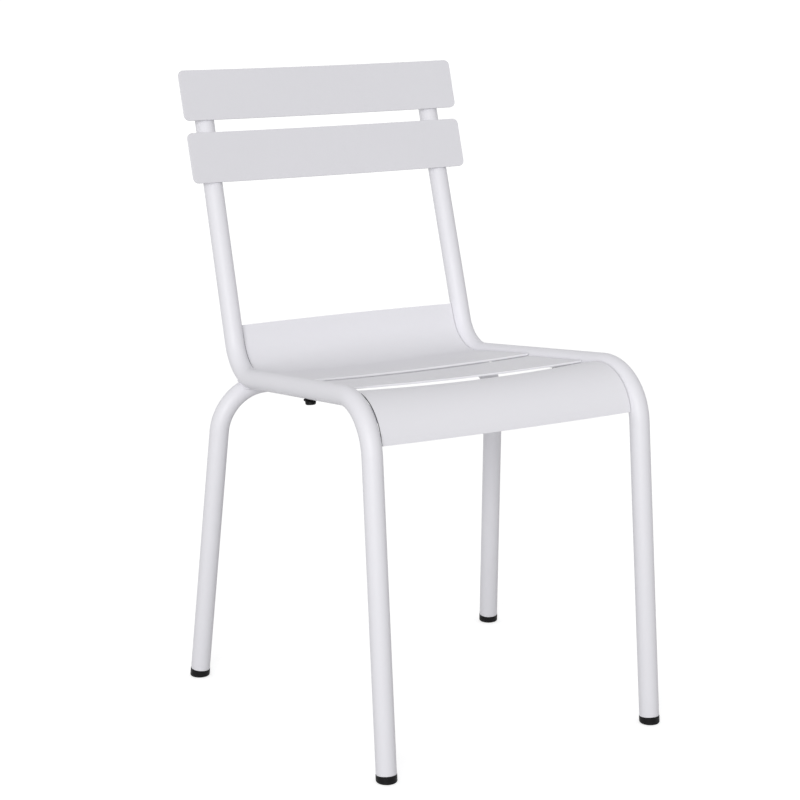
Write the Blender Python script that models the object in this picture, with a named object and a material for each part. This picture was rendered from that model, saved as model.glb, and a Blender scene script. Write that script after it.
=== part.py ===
"""A white metal stacking garden chair: two bent-tube side frames, a rear-leg arch, and five sheet slats.

The frame is +Z up, the chair faces -Y, and the origin is on the floor, under the middle of the chair's
bounding box. A side frame is bent in one plane, which toes in by TOE_IN towards the back. Its centre line
runs from the top of the upright, round the rear bend, along the seat rail and round the front bend to the
front foot. Places on it are given as a distance along that line.
"""

import math

import bmesh
import bpy
from mathutils import Matrix, Vector

MM = 0.001

# Tube and sheet stock
TUBE_DIAMETER = 25.0 * MM
TUBE_WALL = 1.5 * MM
SLAT_THICKNESS = 2.5 * MM
SEAT_GAP = 0.3 * MM

# Side frame, in its own plane: corners of the centre line before bending
KNEE_Y = -223.8 * MM
KNEE_HEIGHT = 451.9 * MM
SEAT_RUN = 373.7 * MM
SEAT_DROP = 45.7 * MM
FRONT_LEG_RAKE = math.radians(5.4)
RECLINE = math.radians(17.5)
UPRIGHT_LENGTH = 390.0 * MM
FRONT_BEND_RADIUS = 67.0 * MM
REAR_BEND_RADIUS = 53.0 * MM

# Where the side frames stand
FRAME_HALF_SPACING = 179.9 * MM
TOE_IN = math.radians(2.35)

# Rear-leg arch, in its own leaning plane
REAR_FOOT_Y = 171.9 * MM
REAR_FOOT_OUTSIDE_RAIL = 48.0 * MM
REAR_LEG_LEAN = math.radians(5.8)
REAR_LEG_SPLAY = math.radians(3.05)
ARCH_NOTCH_DEPTH = 5.45 * MM
ARCH_BEND_RADIUS = 62.5 * MM

# Back slats, sheets on the front of the uprights, bowed back between their ends
BACK_SLAT_WIDTH = 409.5 * MM
BACK_SLAT_DEPTH = 66.3 * MM
BACK_SLAT_SPACING = 16.1 * MM
BACK_SLAT_CORNER = 7.5 * MM
BACK_SLAT_BOW = 5.0 * MM
UPRIGHT_BELOW_SLAT_TOP = 12.2 * MM

# Seat slats, sheets between the rails, measured along the centre line
REAR_SLAT_RISE = 22.7 * MM
REAR_SLAT_FLAT = 120.2 * MM
MIDDLE_SLAT_WIDTH = 108.3 * MM
SEAT_SLAT_SPACING = 7.3 * MM
FRONT_SLAT_SHORT_OF_BEND_END = 12.3 * MM
FREE_EDGE_CROWN = 1.5 * MM

# Each seat slat's dish at mid-width, and how far its top lies above the rails' centre line at its back edge,
# middle and front edge
REAR_SLAT_DISH = 2.9 * MM
MIDDLE_SLAT_DISH = 3.2 * MM
FRONT_SLAT_DISH = 4.5 * MM
REAR_SLAT_LIFTS = (0.3 * MM, 4.2 * MM, 5.5 * MM)
MIDDLE_SLAT_LIFTS = (2.9 * MM, 3.3 * MM, 3.7 * MM)
FRONT_SLAT_LIFTS = (0.6 * MM, 5.6 * MM, 1.7 * MM)

# Foot caps and upright plugs, pushed into the tube ends
FRONT_CAP_HEIGHT = 9.3 * MM
REAR_CAP_HEIGHT = 10.6 * MM
CAP_OUTSIDE_TUBE = 0.4 * MM
CAP_EDGE_ROUND = 2.4 * MM
PLUG_HEIGHT = 3.0 * MM
PLUG_DOME_REACH = math.radians(70.0)
STEM_LENGTH = 19.0 * MM
STEM_RIB = 0.8 * MM
STEM_RIBS = 3
STEM_RIB_SHARE = 0.7
STEM_FIT = 0.3 * MM

# Stacking pads, snapped into a hole in the underside of each rail
PAD_BEFORE_FRONT_BEND = 92.3 * MM
PAD_DIAMETER = 14.0 * MM
PAD_TIP_DIAMETER = 12.8 * MM
PAD_DROP = 6.3 * MM
PAD_TIP_ROUND = 1.8 * MM
PAD_TAIL_REACH = 16.2 * MM
PAD_TAIL_DIAMETER = 2.0 * MM
PAD_PIP_DIAMETER = 3.4 * MM
PAD_STUD_DIAMETER = 5.2 * MM
PAD_STUD_TIP_DIAMETER = 3.2 * MM
PAD_BARB = 0.9 * MM
PAD_BARB_LENGTH = 3.0 * MM

# Weld beads
BEAD_RADIUS = 1.8 * MM
BEAD_END_RADIUS = 0.9 * MM
BACK_BEAD_LENGTH = 34.0 * MM
SEAT_BEAD_SHARE = 0.5
ARCH_BEAD_REACH = math.radians(25.0)

# Mesh fineness
TUBE_SIDES = 24
BEND_STEP = math.radians(9.0)
LEAST_STATION_STEP = 0.3 * MM
SLAT_STRIPS = 10
CORNER_STEPS = 5
CAP_STEPS = 3
PAD_STEPS = 3
PIP_STEPS = 5
ARCH_BEAD_STEPS = 3
SMALL_SIDES = 20
BEAD_SIDES = 8
SHARP_ANGLE = math.radians(35.0)
SEARCH_STEPS = 8
SEARCH_ROUNDS = 9
HALVINGS = 24
BEAD_FITTING_STEPS = 6

COAT_WHITE = (0.80, 0.80, 0.83, 1.0)
PLASTIC_BLACK = (0.016, 0.016, 0.017, 1.0)

TUBE_RADIUS = TUBE_DIAMETER / 2
BORE_RADIUS = TUBE_RADIUS - TUBE_WALL
BEAD_SPACE = BEAD_RADIUS + SEAT_GAP
SIDE_NORMAL = Vector((1, 0, 0))
UP = Vector((0, 0, 1))
UPRIGHT_AHEAD = Vector((0, math.sin(RECLINE), math.cos(RECLINE)))
SLAT_AHEAD = Vector((0, -math.cos(RECLINE), math.sin(RECLINE)))
SIDES = ((-1, "left"), (1, "right"))


# Centre lines


def bent_line(corners, radii):
    """A polyline with a round bend at each inner corner, as ("run", start, end) and ("bend", ...) pieces."""
    pieces = []
    start = corners[0]
    for before, corner, after, radius in zip(corners, corners[1:], corners[2:], radii):
        back = (before - corner).normalized()
        ahead = (after - corner).normalized()
        half = back.angle(ahead) / 2
        tangent_length = radius / math.tan(half)
        enter = corner + back * tangent_length
        centre = corner + (back + ahead).normalized() * radius / math.sin(half)
        arm = enter - centre
        pieces.append(("run", start, enter))
        pieces.append(("bend", centre, arm, arm.cross(-back).normalized(), math.pi - 2 * half))
        start = corner + ahead * tangent_length
    pieces.append(("run", start, corners[-1]))
    return pieces


def piece_length(piece):
    if piece[0] == "run":
        return (piece[2] - piece[1]).length
    return piece[2].length * piece[4]


def place_on(line, distance):
    """(point, direction) of a centre line at a distance from its start."""
    for piece in line:
        length = piece_length(piece)
        if distance <= length or piece is line[-1]:
            break
        distance -= length
    if piece[0] == "run":
        direction = (piece[2] - piece[1]).normalized()
        return piece[1] + direction * distance, direction
    centre, arm, axis = piece[1:4]
    turned = Matrix.Rotation(distance / arm.length, 3, axis) @ arm
    return centre + turned, axis.cross(turned).normalized()


def distance_to(line, point):
    """How far a point lies from a centre line."""
    found = []
    for piece in line:
        if piece[0] == "run":
            start, end = piece[1:]
            share = (point - start).dot(end - start) / (end - start).length_squared
            found.append((point - start.lerp(end, min(1.0, max(0.0, share)))).length)
            continue
        centre, arm, axis, angle = piece[1:]
        offset = point - centre
        aside = offset.dot(axis)
        flat = offset - axis * aside
        if 0.0 < math.atan2(arm.cross(flat).dot(axis), arm.dot(flat)) < angle:
            found.append(math.hypot(flat.length - arm.length, aside))
    return min(found)


def halved(low, high, is_past):
    """The value between low and high from which is_past holds."""
    for _ in range(HALVINGS):
        middle = (low + high) / 2
        if is_past(middle):
            high = middle
        else:
            low = middle
    return high


def stations(line, low, high):
    """Distances from low to high that follow every bend closely and take each straight run in one step."""
    found = [low]
    start = 0.0
    for piece in line:
        length = piece_length(piece)
        steps = 1 if piece[0] == "run" else math.ceil(piece[4] / BEND_STEP)
        for step in range(1, steps + 1):
            distance = start + length * step / steps
            if low + LEAST_STATION_STEP < distance < high - LEAST_STATION_STEP:
                found.append(distance)
        start += length
    return found + [high]


# Meshes


def material(name, colour, roughness, metallic):
    made = bpy.data.materials.new(name)
    made.use_nodes = True
    shader = made.node_tree.nodes["Principled BSDF"]
    shader.inputs["Base Color"].default_value = colour
    shader.inputs["Roughness"].default_value = roughness
    shader.inputs["Metallic"].default_value = metallic
    made.diffuse_color = colour
    return made


def add_object(name, mesh, surface, parent=None, place=None):
    """Links a mesh into the scene as one named sub-part."""
    made = bpy.data.objects.new(name, mesh)
    bpy.context.scene.collection.objects.link(made)
    if surface and not mesh.materials:
        mesh.materials.append(surface)
    if place is not None:
        made.matrix_world = place
    if parent is not None:
        made.parent = parent
    return made


def finish_mesh(name, builder):
    bmesh.ops.recalc_face_normals(builder, faces=builder.faces)
    mesh = bpy.data.meshes.new(name)
    builder.to_mesh(mesh)
    builder.free()
    mesh.shade_smooth()
    mesh.set_sharp_from_angle(angle=SHARP_ANGLE)
    return mesh


def loft(name, rings, looped=False):
    """Skins rings of points. The ends are filled, or, when looped, the last ring joins the first."""
    builder = bmesh.new()
    rows = [[builder.verts.new(point) for point in ring] for ring in rings]
    pairs = list(zip(rows, rows[1:]))
    if looped:
        pairs.append((rows[-1], rows[0]))
    for lower, upper in pairs:
        for index in range(len(lower)):
            after = (index + 1) % len(lower)
            builder.faces.new((lower[index], lower[after], upper[after], upper[index]))
    if not looped:
        builder.faces.new(rows[0])
        builder.faces.new(rows[-1])
    return finish_mesh(name, builder)


def ring(centre, direction, radius, sides, flat_normal):
    """A circle square to a direction. Its first point lies along flat_normal."""
    across = (flat_normal - direction * flat_normal.dot(direction)).normalized()
    second = direction.cross(across)
    turns = [2 * math.pi * index / sides for index in range(sides)]
    return [centre + radius * (across * math.cos(turn) + second * math.sin(turn)) for turn in turns]


def rings_along(line, distances, radius, sides, flat_normal):
    return [ring(*place_on(line, distance), radius, sides, flat_normal) for distance in distances]


def tube_mesh(name, line, low, high, flat_normal):
    """A hollow tube along a centre line, open at both ends."""
    distances = stations(line, low, high)
    outer = rings_along(line, distances, TUBE_RADIUS, TUBE_SIDES, flat_normal)
    inner = rings_along(line, distances, BORE_RADIUS, TUBE_SIDES, flat_normal)
    return loft(name, outer + inner[::-1], looped=True)


def rod_mesh(name, line, low, high, radius, flat_normal):
    """A solid rod along a centre line."""
    return loft(name, rings_along(line, stations(line, low, high), radius, TUBE_SIDES, flat_normal))


def turned_mesh(name, profile, sides):
    """A solid turned about Z, from (radius, height) pairs that run from the bottom to the top."""
    turns = [2 * math.pi * index / sides for index in range(sides)]
    rings = []
    for radius, height in profile:
        rings.append([Vector((radius * math.cos(turn), radius * math.sin(turn), height)) for turn in turns])
    return loft(name, rings)


def bead_mesh(name, points):
    """A weld bead: a thin rod through points, with tapered ends."""
    ahead = [(after - before).normalized() for before, after in zip(points, points[1:])]
    directions = [ahead[0]] + [(a + b).normalized() for a, b in zip(ahead, ahead[1:])] + [ahead[-1]]
    rings = []
    last = len(points) - 1
    for index, (point, direction) in enumerate(zip(points, directions)):
        if index == 0:
            rings.append(ring(point - direction * BEAD_RADIUS, direction, BEAD_END_RADIUS, BEAD_SIDES, UP))
        rings.append(ring(point, direction, BEAD_RADIUS, BEAD_SIDES, UP))
        if index == last:
            rings.append(ring(point + direction * BEAD_RADIUS, direction, BEAD_END_RADIUS, BEAD_SIDES, UP))
    return loft(name, rings)


def combine(target, helper, operation):
    """Takes a helper's space out of a sub-part, or adds it, and hides the helper."""
    helper.hide_render = True
    helper.display_type = "WIRE"
    modifier = target.modifiers.new(helper.name, "BOOLEAN")
    modifier.operation = operation
    modifier.solver = "EXACT"
    modifier.object = helper


# The side frame's centre line and the places on it


def heel_corner():
    return Vector((0, KNEE_Y + SEAT_RUN, KNEE_HEIGHT - SEAT_DROP))


def side_corners():
    top = heel_corner() + UPRIGHT_AHEAD * UPRIGHT_LENGTH
    knee = Vector((0, KNEE_Y, KNEE_HEIGHT))
    foot = Vector((0, KNEE_Y - KNEE_HEIGHT * math.tan(FRONT_LEG_RAKE), 0))
    return [top, heel_corner(), knee, foot]


SIDE_LINE = bent_line(side_corners(), [REAR_BEND_RADIUS, FRONT_BEND_RADIUS])
REAR_BEND_TOP = piece_length(SIDE_LINE[0])
REAR_BEND_END = REAR_BEND_TOP + piece_length(SIDE_LINE[1])
FRONT_BEND_START = REAR_BEND_END + piece_length(SIDE_LINE[2])
FRONT_BEND_END = FRONT_BEND_START + piece_length(SIDE_LINE[3])
SIDE_LENGTH = FRONT_BEND_END + piece_length(SIDE_LINE[4])

REAR_SLAT = (REAR_BEND_TOP - REAR_SLAT_RISE, REAR_BEND_END + REAR_SLAT_FLAT)
MIDDLE_SLAT = (REAR_SLAT[1] + SEAT_SLAT_SPACING, REAR_SLAT[1] + SEAT_SLAT_SPACING + MIDDLE_SLAT_WIDTH)
FRONT_SLAT = (MIDDLE_SLAT[1] + SEAT_SLAT_SPACING, FRONT_BEND_END - FRONT_SLAT_SHORT_OF_BEND_END)
PAD_PLACE = FRONT_BEND_START - PAD_BEFORE_FRONT_BEND


def side_place(side):
    """Where a side frame's plane stands: side is -1 for the left, from the front, and 1 for the right."""
    return Matrix.Translation((side * FRAME_HALF_SPACING, 0, 0)) @ Matrix.Rotation(side * TOE_IN, 4, "Z")


def lifted(distance, lift):
    """A point of the side plane at a lift above, or in front of, the centre line."""
    point, direction = place_on(SIDE_LINE, distance)
    return point + direction.cross(SIDE_NORMAL) * lift


def eased(lifts, share):
    """The smooth curve through three lifts, at the start, middle and end of a slat."""
    back, middle, front = lifts
    slope = 4 * middle - 3 * back - front
    curve = 2 * back + 2 * front - 4 * middle
    return back + share * slope + share * share * curve


# The arch's centre line. Its feet stand outside the rails, and its bar rises until the rails sit in it by
# ARCH_NOTCH_DEPTH.

REAR_FOOT_HALF_SPREAD = FRAME_HALF_SPACING + REAR_FOOT_OUTSIDE_RAIL
ARCH_PLACE = Matrix.Translation((0, REAR_FOOT_Y, 0)) @ Matrix.Rotation(REAR_LEG_LEAN, 4, "X")
SIDE_TO_ARCH = ARCH_PLACE.inverted() @ side_place(1)


def arch_line(height):
    shoulder_x = REAR_FOOT_HALF_SPREAD - height * math.tan(REAR_LEG_SPLAY)
    left = [Vector((-REAR_FOOT_HALF_SPREAD, 0, 0)), Vector((-shoulder_x, 0, height))]
    right = [Vector((shoulder_x, 0, height)), Vector((REAR_FOOT_HALF_SPREAD, 0, 0))]
    return bent_line(left + right, [ARCH_BEND_RADIUS, ARCH_BEND_RADIUS])


def crossing(line):
    """(gap between the centre lines, place on the rail) where a rail comes closest to an arch."""
    low = REAR_BEND_TOP
    high = FRONT_BEND_START
    for _ in range(SEARCH_ROUNDS):
        step = (high - low) / SEARCH_STEPS
        tries = []
        for index in range(SEARCH_STEPS + 1):
            spot = low + step * index
            tries.append((distance_to(line, SIDE_TO_ARCH @ place_on(SIDE_LINE, spot)[0]), spot))
        gap, best = min(tries)
        low = max(low, best - step)
        high = min(high, best + step)
    return gap, best


def is_nested(height):
    return crossing(arch_line(height))[0] < TUBE_DIAMETER - ARCH_NOTCH_DEPTH


ARCH_HEIGHT = halved(2 * ARCH_BEND_RADIUS, KNEE_HEIGHT, is_nested)
ARCH_LINE = arch_line(ARCH_HEIGHT)
ARCH_LENGTH = sum(piece_length(piece) for piece in ARCH_LINE)
CROSSING_PLACE = crossing(ARCH_LINE)[1]


# Sub-parts


def side_frames(coat, chair):
    """The two side tubes, each one tube from the top of the upright to the front foot."""
    mesh = tube_mesh("side_tube", SIDE_LINE, 0.0, SIDE_LENGTH - FRONT_CAP_HEIGHT - SEAT_GAP, SIDE_NORMAL)
    frames = {}
    for side, word in SIDES:
        frames[side] = add_object("side_frame_" + word, mesh, coat, chair, side_place(side))
    return frames


def rear_arch(coat, chair):
    """The rear legs: one tube that passes under both rails, notched where they rest in it."""
    ends = REAR_CAP_HEIGHT + SEAT_GAP
    mesh = tube_mesh("arch_tube", ARCH_LINE, ends, ARCH_LENGTH - ends, Vector((0, 1, 0)))
    arch = add_object("rear_leg_arch", mesh, coat, chair, ARCH_PLACE)
    for side, word in SIDES:
        low = REAR_BEND_TOP
        high = REAR_BEND_END + TUBE_DIAMETER
        rod = rod_mesh("rail_space", SIDE_LINE, low, high, TUBE_RADIUS + SEAT_GAP, SIDE_NORMAL)
        space = add_object("rail_space_" + word, rod, None, None, side_place(side))
        combine(arch, space, "DIFFERENCE")
    return arch


def inboard(side, distance, lift, aside):
    """A point level with a rail and inboard of it: at a lift above its centre line, and aside from it."""
    point = lifted(distance, lift)
    x = FRAME_HALF_SPACING - point.y * math.sin(TOE_IN) - aside / math.cos(TOE_IN)
    return Vector((side * x, point.y * math.cos(TOE_IN), point.z))


def bulge(across):
    """The share of a dish, crown or bow: nothing at the ends of a slat, all of it at mid-width."""
    return 1 - across * across


def seat_slat(name, span, crowns, dish, lifts, coat, chair):
    """A seat slat: a sheet that follows the rails, its ends against their inner sides, dished across.
    crowns are how far its back and front edges bulge out at mid-width."""
    low, high = span
    inset = TUBE_RADIUS + SEAT_GAP
    rings = []
    for distance in stations(SIDE_LINE, low, high):
        share = (distance - low) / (high - low)
        lift = eased(lifts, share)
        upper = []
        lower = []
        for strip in range(SLAT_STRIPS + 1):
            across = 2 * strip / SLAT_STRIPS - 1
            spread = bulge(across) * (crowns[1] * share - crowns[0] * (1 - share))
            end = inboard(1, distance + spread, lift, inset)
            inward = (lifted(distance + spread, 0) - lifted(distance + spread, 1)).normalized()
            top = Vector((end.x * across, end.y, end.z)) + inward * dish * bulge(across)
            upper.append(top)
            lower.append(top + inward * SLAT_THICKNESS)
        rings.append(upper + lower[::-1])
    return add_object(name, loft(name, rings), coat, chair)


def back_slat_setback(centre, x):
    """How far behind the front of the uprights a back slat lies, at x: nothing where it crosses them."""
    spot = heel_corner() + UPRIGHT_AHEAD * centre
    upright_x = FRAME_HALF_SPACING - spot.y * math.sin(TOE_IN)
    half_width = BACK_SLAT_WIDTH / 2
    return BACK_SLAT_BOW * (bulge(x / half_width) - bulge(upright_x / half_width))


def back_slat(name, centre, coat, chair):
    """A back slat on the front of both uprights. centre is its distance from the heel corner."""
    flat_half = BACK_SLAT_WIDTH / 2 - BACK_SLAT_CORNER
    flat_height = BACK_SLAT_DEPTH / 2 - BACK_SLAT_CORNER
    radius = BACK_SLAT_CORNER
    turns = [math.pi / 2 * step / CORNER_STEPS for step in range(CORNER_STEPS + 1)]
    right = [(flat_half + radius * math.sin(turn), radius * math.cos(turn)) for turn in turns]
    middle = [(flat_half * (2 * strip / SLAT_STRIPS - 1), radius) for strip in range(1, SLAT_STRIPS)]
    left = [(-x, height) for x, height in reversed(right)]
    rings = []
    for x, height in left + middle + right:
        rear = back_slat_setback(centre, x)
        reach = flat_height + height
        front = rear - SLAT_THICKNESS
        corners = ((rear, reach), (front, reach), (front, -reach), (rear, -reach))
        rings.append([Vector((x, y, z)) for y, z in corners])
    return add_object(name, loft(name, rings), coat, chair, back_place(centre))


def back_place(along):
    """Where the rear of a back slat meets the uprights, at a distance up them from the heel corner."""
    spot = heel_corner() + UPRIGHT_AHEAD * along
    spot.y *= math.cos(TOE_IN)
    spot += SLAT_AHEAD * (TUBE_RADIUS + SEAT_GAP)
    return Matrix.Translation(spot) @ Matrix.Rotation(-RECLINE, 4, "X")


def upper_slat_centre():
    return UPRIGHT_LENGTH + UPRIGHT_BELOW_SLAT_TOP - BACK_SLAT_DEPTH / 2


def lower_slat_centre():
    return upper_slat_centre() - BACK_SLAT_DEPTH - BACK_SLAT_SPACING


def stem_profile(start):
    """The ribbed stem of a cap or plug, as (radius, height) pairs above start."""
    crest = BORE_RADIUS - STEM_FIT
    core = crest - STEM_RIB
    pitch = STEM_LENGTH / (STEM_RIBS + 1)
    half_rib = pitch * STEM_RIB_SHARE / 2
    profile = [(core, start)]
    for rib in range(1, STEM_RIBS + 1):
        middle = start + pitch * rib
        profile += [(core, middle - half_rib), (crest, middle), (core, middle + half_rib)]
    return profile + [(core, start + STEM_LENGTH)]


def foot_cap(name, foot, leg, head_height, plastic, chair):
    """A foot cap: a head a little wider than the tube, level underneath with the floor, and a ribbed stem."""
    leg = leg.normalized()
    head_radius = TUBE_RADIUS + CAP_OUTSIDE_TUBE
    edge = [(head_radius - CAP_EDGE_ROUND, 0.0)]
    for step in range(1, CAP_STEPS + 1):
        turn = math.pi / 2 * step / CAP_STEPS
        radius = head_radius - CAP_EDGE_ROUND * (1 - math.sin(turn))
        edge.append((radius, CAP_EDGE_ROUND * (1 - math.cos(turn))))
    rings = []
    for radius, height in edge:
        flat = ring(Vector(), leg, radius, TUBE_SIDES, SIDE_NORMAL)
        rings.append([point + leg * ((height - point.z) / leg.z) for point in flat])
    shoulder = [(head_radius, head_height)] + stem_profile(head_height)
    for radius, height in shoulder:
        rings.append(ring(leg * height, leg, radius, TUBE_SIDES, SIDE_NORMAL))
    return add_object(name, loft(name, rings), plastic, chair, Matrix.Translation(foot))


def foot_caps(plastic, chair):
    for side, word in SIDES:
        top, foot = SIDE_LINE[-1][1:]
        place = side_place(side)
        leg = place @ top - place @ foot
        foot_cap("front_foot_cap_" + word, place @ foot, leg, FRONT_CAP_HEIGHT, plastic, chair)
    for word, foot, top in (
        ("left", ARCH_LINE[0][1], ARCH_LINE[0][2]),
        ("right", ARCH_LINE[-1][2], ARCH_LINE[-1][1]),
    ):
        leg = ARCH_PLACE @ top - ARCH_PLACE @ foot
        foot_cap("rear_foot_cap_" + word, ARCH_PLACE @ foot, leg, REAR_CAP_HEIGHT, plastic, chair)


def upright_plugs(plastic, chair):
    """The plugs in the tops of the uprights: a low domed head on the same ribbed stem."""
    dome = []
    for step in range(CAP_STEPS + 1):
        turn = PLUG_DOME_REACH * (1 - step / CAP_STEPS)
        dome.append((TUBE_RADIUS * math.cos(turn), -PLUG_HEIGHT * math.sin(turn)))
    mesh = turned_mesh("upright_plug", dome + stem_profile(SEAT_GAP), TUBE_SIDES)
    end, inward = place_on(SIDE_LINE, 0.0)
    seat = Matrix.Translation(end - inward * SEAT_GAP) @ inward.to_track_quat("Z", "Y").to_matrix().to_4x4()
    for side, word in SIDES:
        add_object("upright_plug_" + word, mesh, plastic, chair, side_place(side) @ seat)


def pad_mesh():
    """A stacking pad about Z, with the rail's centre line along Y through the origin: the body hangs below
    the rail, its top is a saddle on the tube, and its stud passes through the wall to a barb inside."""
    saddle = TUBE_RADIUS + SEAT_GAP
    tip = -saddle - PAD_DROP
    stud = PAD_STUD_DIAMETER / 2
    inside = -math.sqrt((BORE_RADIUS - SEAT_GAP) ** 2 - (stud + PAD_BARB) ** 2)
    levels = []
    for step in range(PAD_STEPS + 1):
        turn = math.pi / 2 * step / PAD_STEPS
        radius = PAD_TIP_DIAMETER / 2 - PAD_TIP_ROUND * (1 - math.sin(turn))
        levels.append((radius, tip + PAD_TIP_ROUND * (1 - math.cos(turn))))
    levels += [(PAD_DIAMETER / 2, None), (stud, None), (stud, inside), (stud + PAD_BARB, inside)]
    levels.append((PAD_STUD_TIP_DIAMETER / 2, inside + PAD_BARB_LENGTH))
    rings = []
    for radius, height in levels:
        points = []
        for index in range(SMALL_SIDES):
            turn = 2 * math.pi * index / SMALL_SIDES
            x = radius * math.cos(turn)
            on_tube = -math.sqrt(saddle * saddle - x * x)
            points.append(Vector((x, radius * math.sin(turn), on_tube if height is None else height)))
        rings.append(points)
    return loft("stacking_pad", rings)


def tail_mesh():
    """The pad's tail: a thin pin that lies back along the rail from the body and ends in a round pip."""
    pin = PAD_TAIL_DIAMETER / 2
    pip = PAD_PIP_DIAMETER / 2
    profile = [(pin, 0.0)]
    for step in range(1, PIP_STEPS + 1):
        turn = math.pi * step / (PIP_STEPS + 1)
        profile.append((pip * math.sin(turn), PAD_TAIL_REACH - pip * math.cos(turn)))
    mesh = turned_mesh("pad_tail", profile, BEAD_SIDES)
    drop = TUBE_RADIUS + SEAT_GAP + pip
    mesh.transform(Matrix.Translation((0, 0, -drop)) @ Matrix.Rotation(-math.pi / 2, 4, "X"))
    return mesh


def stacking_pads(frames, plastic, chair):
    """The pads and the holes in the rails that their studs pass through."""
    spot, ahead = place_on(SIDE_LINE, PAD_PLACE)
    along = Matrix.Translation(spot) @ ahead.to_track_quat("-Y", "Z").to_matrix().to_4x4()
    hole_radius = PAD_STUD_DIAMETER / 2 + SEAT_GAP
    hole = turned_mesh("stud_hole", [(hole_radius, -TUBE_DIAMETER), (hole_radius, 0.0)], SMALL_SIDES)
    mesh = pad_mesh()
    tail = tail_mesh()
    for side, word in SIDES:
        place = side_place(side) @ along
        pad = add_object("stacking_pad_" + word, mesh, plastic, chair, place)
        combine(pad, add_object("pad_tail_" + word, tail, plastic, None, place), "UNION")
        combine(frames[side], add_object("stud_hole_" + word, hole, None, None, place), "DIFFERENCE")


# Weld beads


def seat_beads(name, span, dish, lifts, metal, chair):
    """A bead under each end of a seat slat, in the corner between the sheet and the rail."""
    low, high = span
    spare = (high - low) * (1 - SEAT_BEAD_SHARE) / 2
    reach = TUBE_RADIUS + BEAD_SPACE
    for side, word in SIDES:
        points = []
        for distance in stations(SIDE_LINE, low + spare, high - spare):
            lift = eased(lifts, (distance - low) / (high - low))
            across = 1 - 2 * BEAD_SPACE / inboard(1, distance, lift, TUBE_RADIUS).x
            below = lift - dish * bulge(across) - SLAT_THICKNESS - BEAD_SPACE
            points.append(inboard(side, distance, below, math.sqrt(reach * reach - below * below)))
        add_object(f"weld_{name}_{word}", bead_mesh(name + "_bead", points), metal, chair)


def back_beads(name, centre, metal, chair):
    """Beads behind a back slat, one on each side of each upright."""
    reach = TUBE_RADIUS + BEAD_SPACE
    for side, word in SIDES:
        for sense, edge in ((-1, "inner"), (1, "outer")):
            points = []
            for end in (-1, 1):
                spot = heel_corner() + UPRIGHT_AHEAD * (centre + end * BACK_BEAD_LENGTH / 2)
                spot = side_place(side) @ spot
                aside = 0.0
                for _ in range(BEAD_FITTING_STEPS):
                    setback = back_slat_setback(centre, spot.x + aside)
                    ahead = TUBE_RADIUS + SEAT_GAP - setback - BEAD_SPACE
                    aside = side * sense * math.sqrt(reach * reach - ahead * ahead)
                points.append(spot + SLAT_AHEAD * ahead + SIDE_NORMAL * aside)
            add_object(f"weld_{name}_{word}_{edge}", bead_mesh(name + "_bead", points), metal, chair)


def beside_rail(distance, turn):
    """A point of the side plane where a bead touches the rail, at a turn about it from straight below."""
    spot, ahead = place_on(SIDE_LINE, distance)
    outward = SIDE_NORMAL * math.sin(turn) - ahead.cross(SIDE_NORMAL) * math.cos(turn)
    return spot + outward * (TUBE_RADIUS + BEAD_SPACE)


def arch_bead_point(sense, turn):
    """Where a bead on the right rail touches the arch too: before it for a sense of 1, behind it for -1."""
    reach = TUBE_RADIUS + BEAD_SPACE

    def clears_arch(slide):
        spot = beside_rail(CROSSING_PLACE + sense * slide, turn)
        return distance_to(ARCH_LINE, SIDE_TO_ARCH @ spot) > reach

    return beside_rail(CROSSING_PLACE + sense * halved(0.0, 2 * reach, clears_arch), turn)


def arch_beads(metal, chair):
    """Beads in front of and behind each crossing, in the corner between the rail and the arch."""
    steps = range(-ARCH_BEAD_STEPS, ARCH_BEAD_STEPS + 1)
    turns = [ARCH_BEAD_REACH * step / ARCH_BEAD_STEPS for step in steps]
    for sense, edge in ((1, "front"), (-1, "rear")):
        right_side = [arch_bead_point(sense, turn) for turn in turns]
        for side, word in SIDES:
            points = [side_place(side) @ Vector((side * spot.x, spot.y, spot.z)) for spot in right_side]
            add_object(f"weld_arch_{word}_{edge}", bead_mesh("arch_bead", points), metal, chair)


def build():
    for old in list(bpy.data.objects):
        bpy.data.objects.remove(old, do_unlink=True)
    coat = material("powder_coat_white", COAT_WHITE, 0.45, 0.0)
    plastic = material("plastic_black", PLASTIC_BLACK, 0.5, 0.0)
    chair = bpy.data.objects.new("chair", None)
    bpy.context.scene.collection.objects.link(chair)

    frames = side_frames(coat, chair)
    rear_arch(coat, chair)
    for name, span, crowns, dish, lifts in (
        ("rear", REAR_SLAT, (FREE_EDGE_CROWN, 0.0), REAR_SLAT_DISH, REAR_SLAT_LIFTS),
        ("middle", MIDDLE_SLAT, (0.0, 0.0), MIDDLE_SLAT_DISH, MIDDLE_SLAT_LIFTS),
        ("front", FRONT_SLAT, (0.0, FREE_EDGE_CROWN), FRONT_SLAT_DISH, FRONT_SLAT_LIFTS),
    ):
        seat_slat(f"seat_slat_{name}", span, crowns, dish, lifts, coat, chair)
        seat_beads(f"seat_{name}", span, dish, lifts, coat, chair)
    for name, centre in (("upper", upper_slat_centre()), ("lower", lower_slat_centre())):
        back_slat(f"back_slat_{name}", centre, coat, chair)
        back_beads(f"back_{name}", centre, coat, chair)
    arch_beads(coat, chair)
    foot_caps(plastic, chair)
    upright_plugs(plastic, chair)
    stacking_pads(frames, plastic, chair)


build()
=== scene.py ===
"""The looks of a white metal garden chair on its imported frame: round tubes, pressed slats, welds, powder coat and
black plastic fittings, in a plain studio. Metres, +Z up; the chair faces -Y, and left is its left as seen from the
front."""

import math

import bmesh
import bpy
from mathutils import Matrix, Quaternion, Vector


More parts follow.
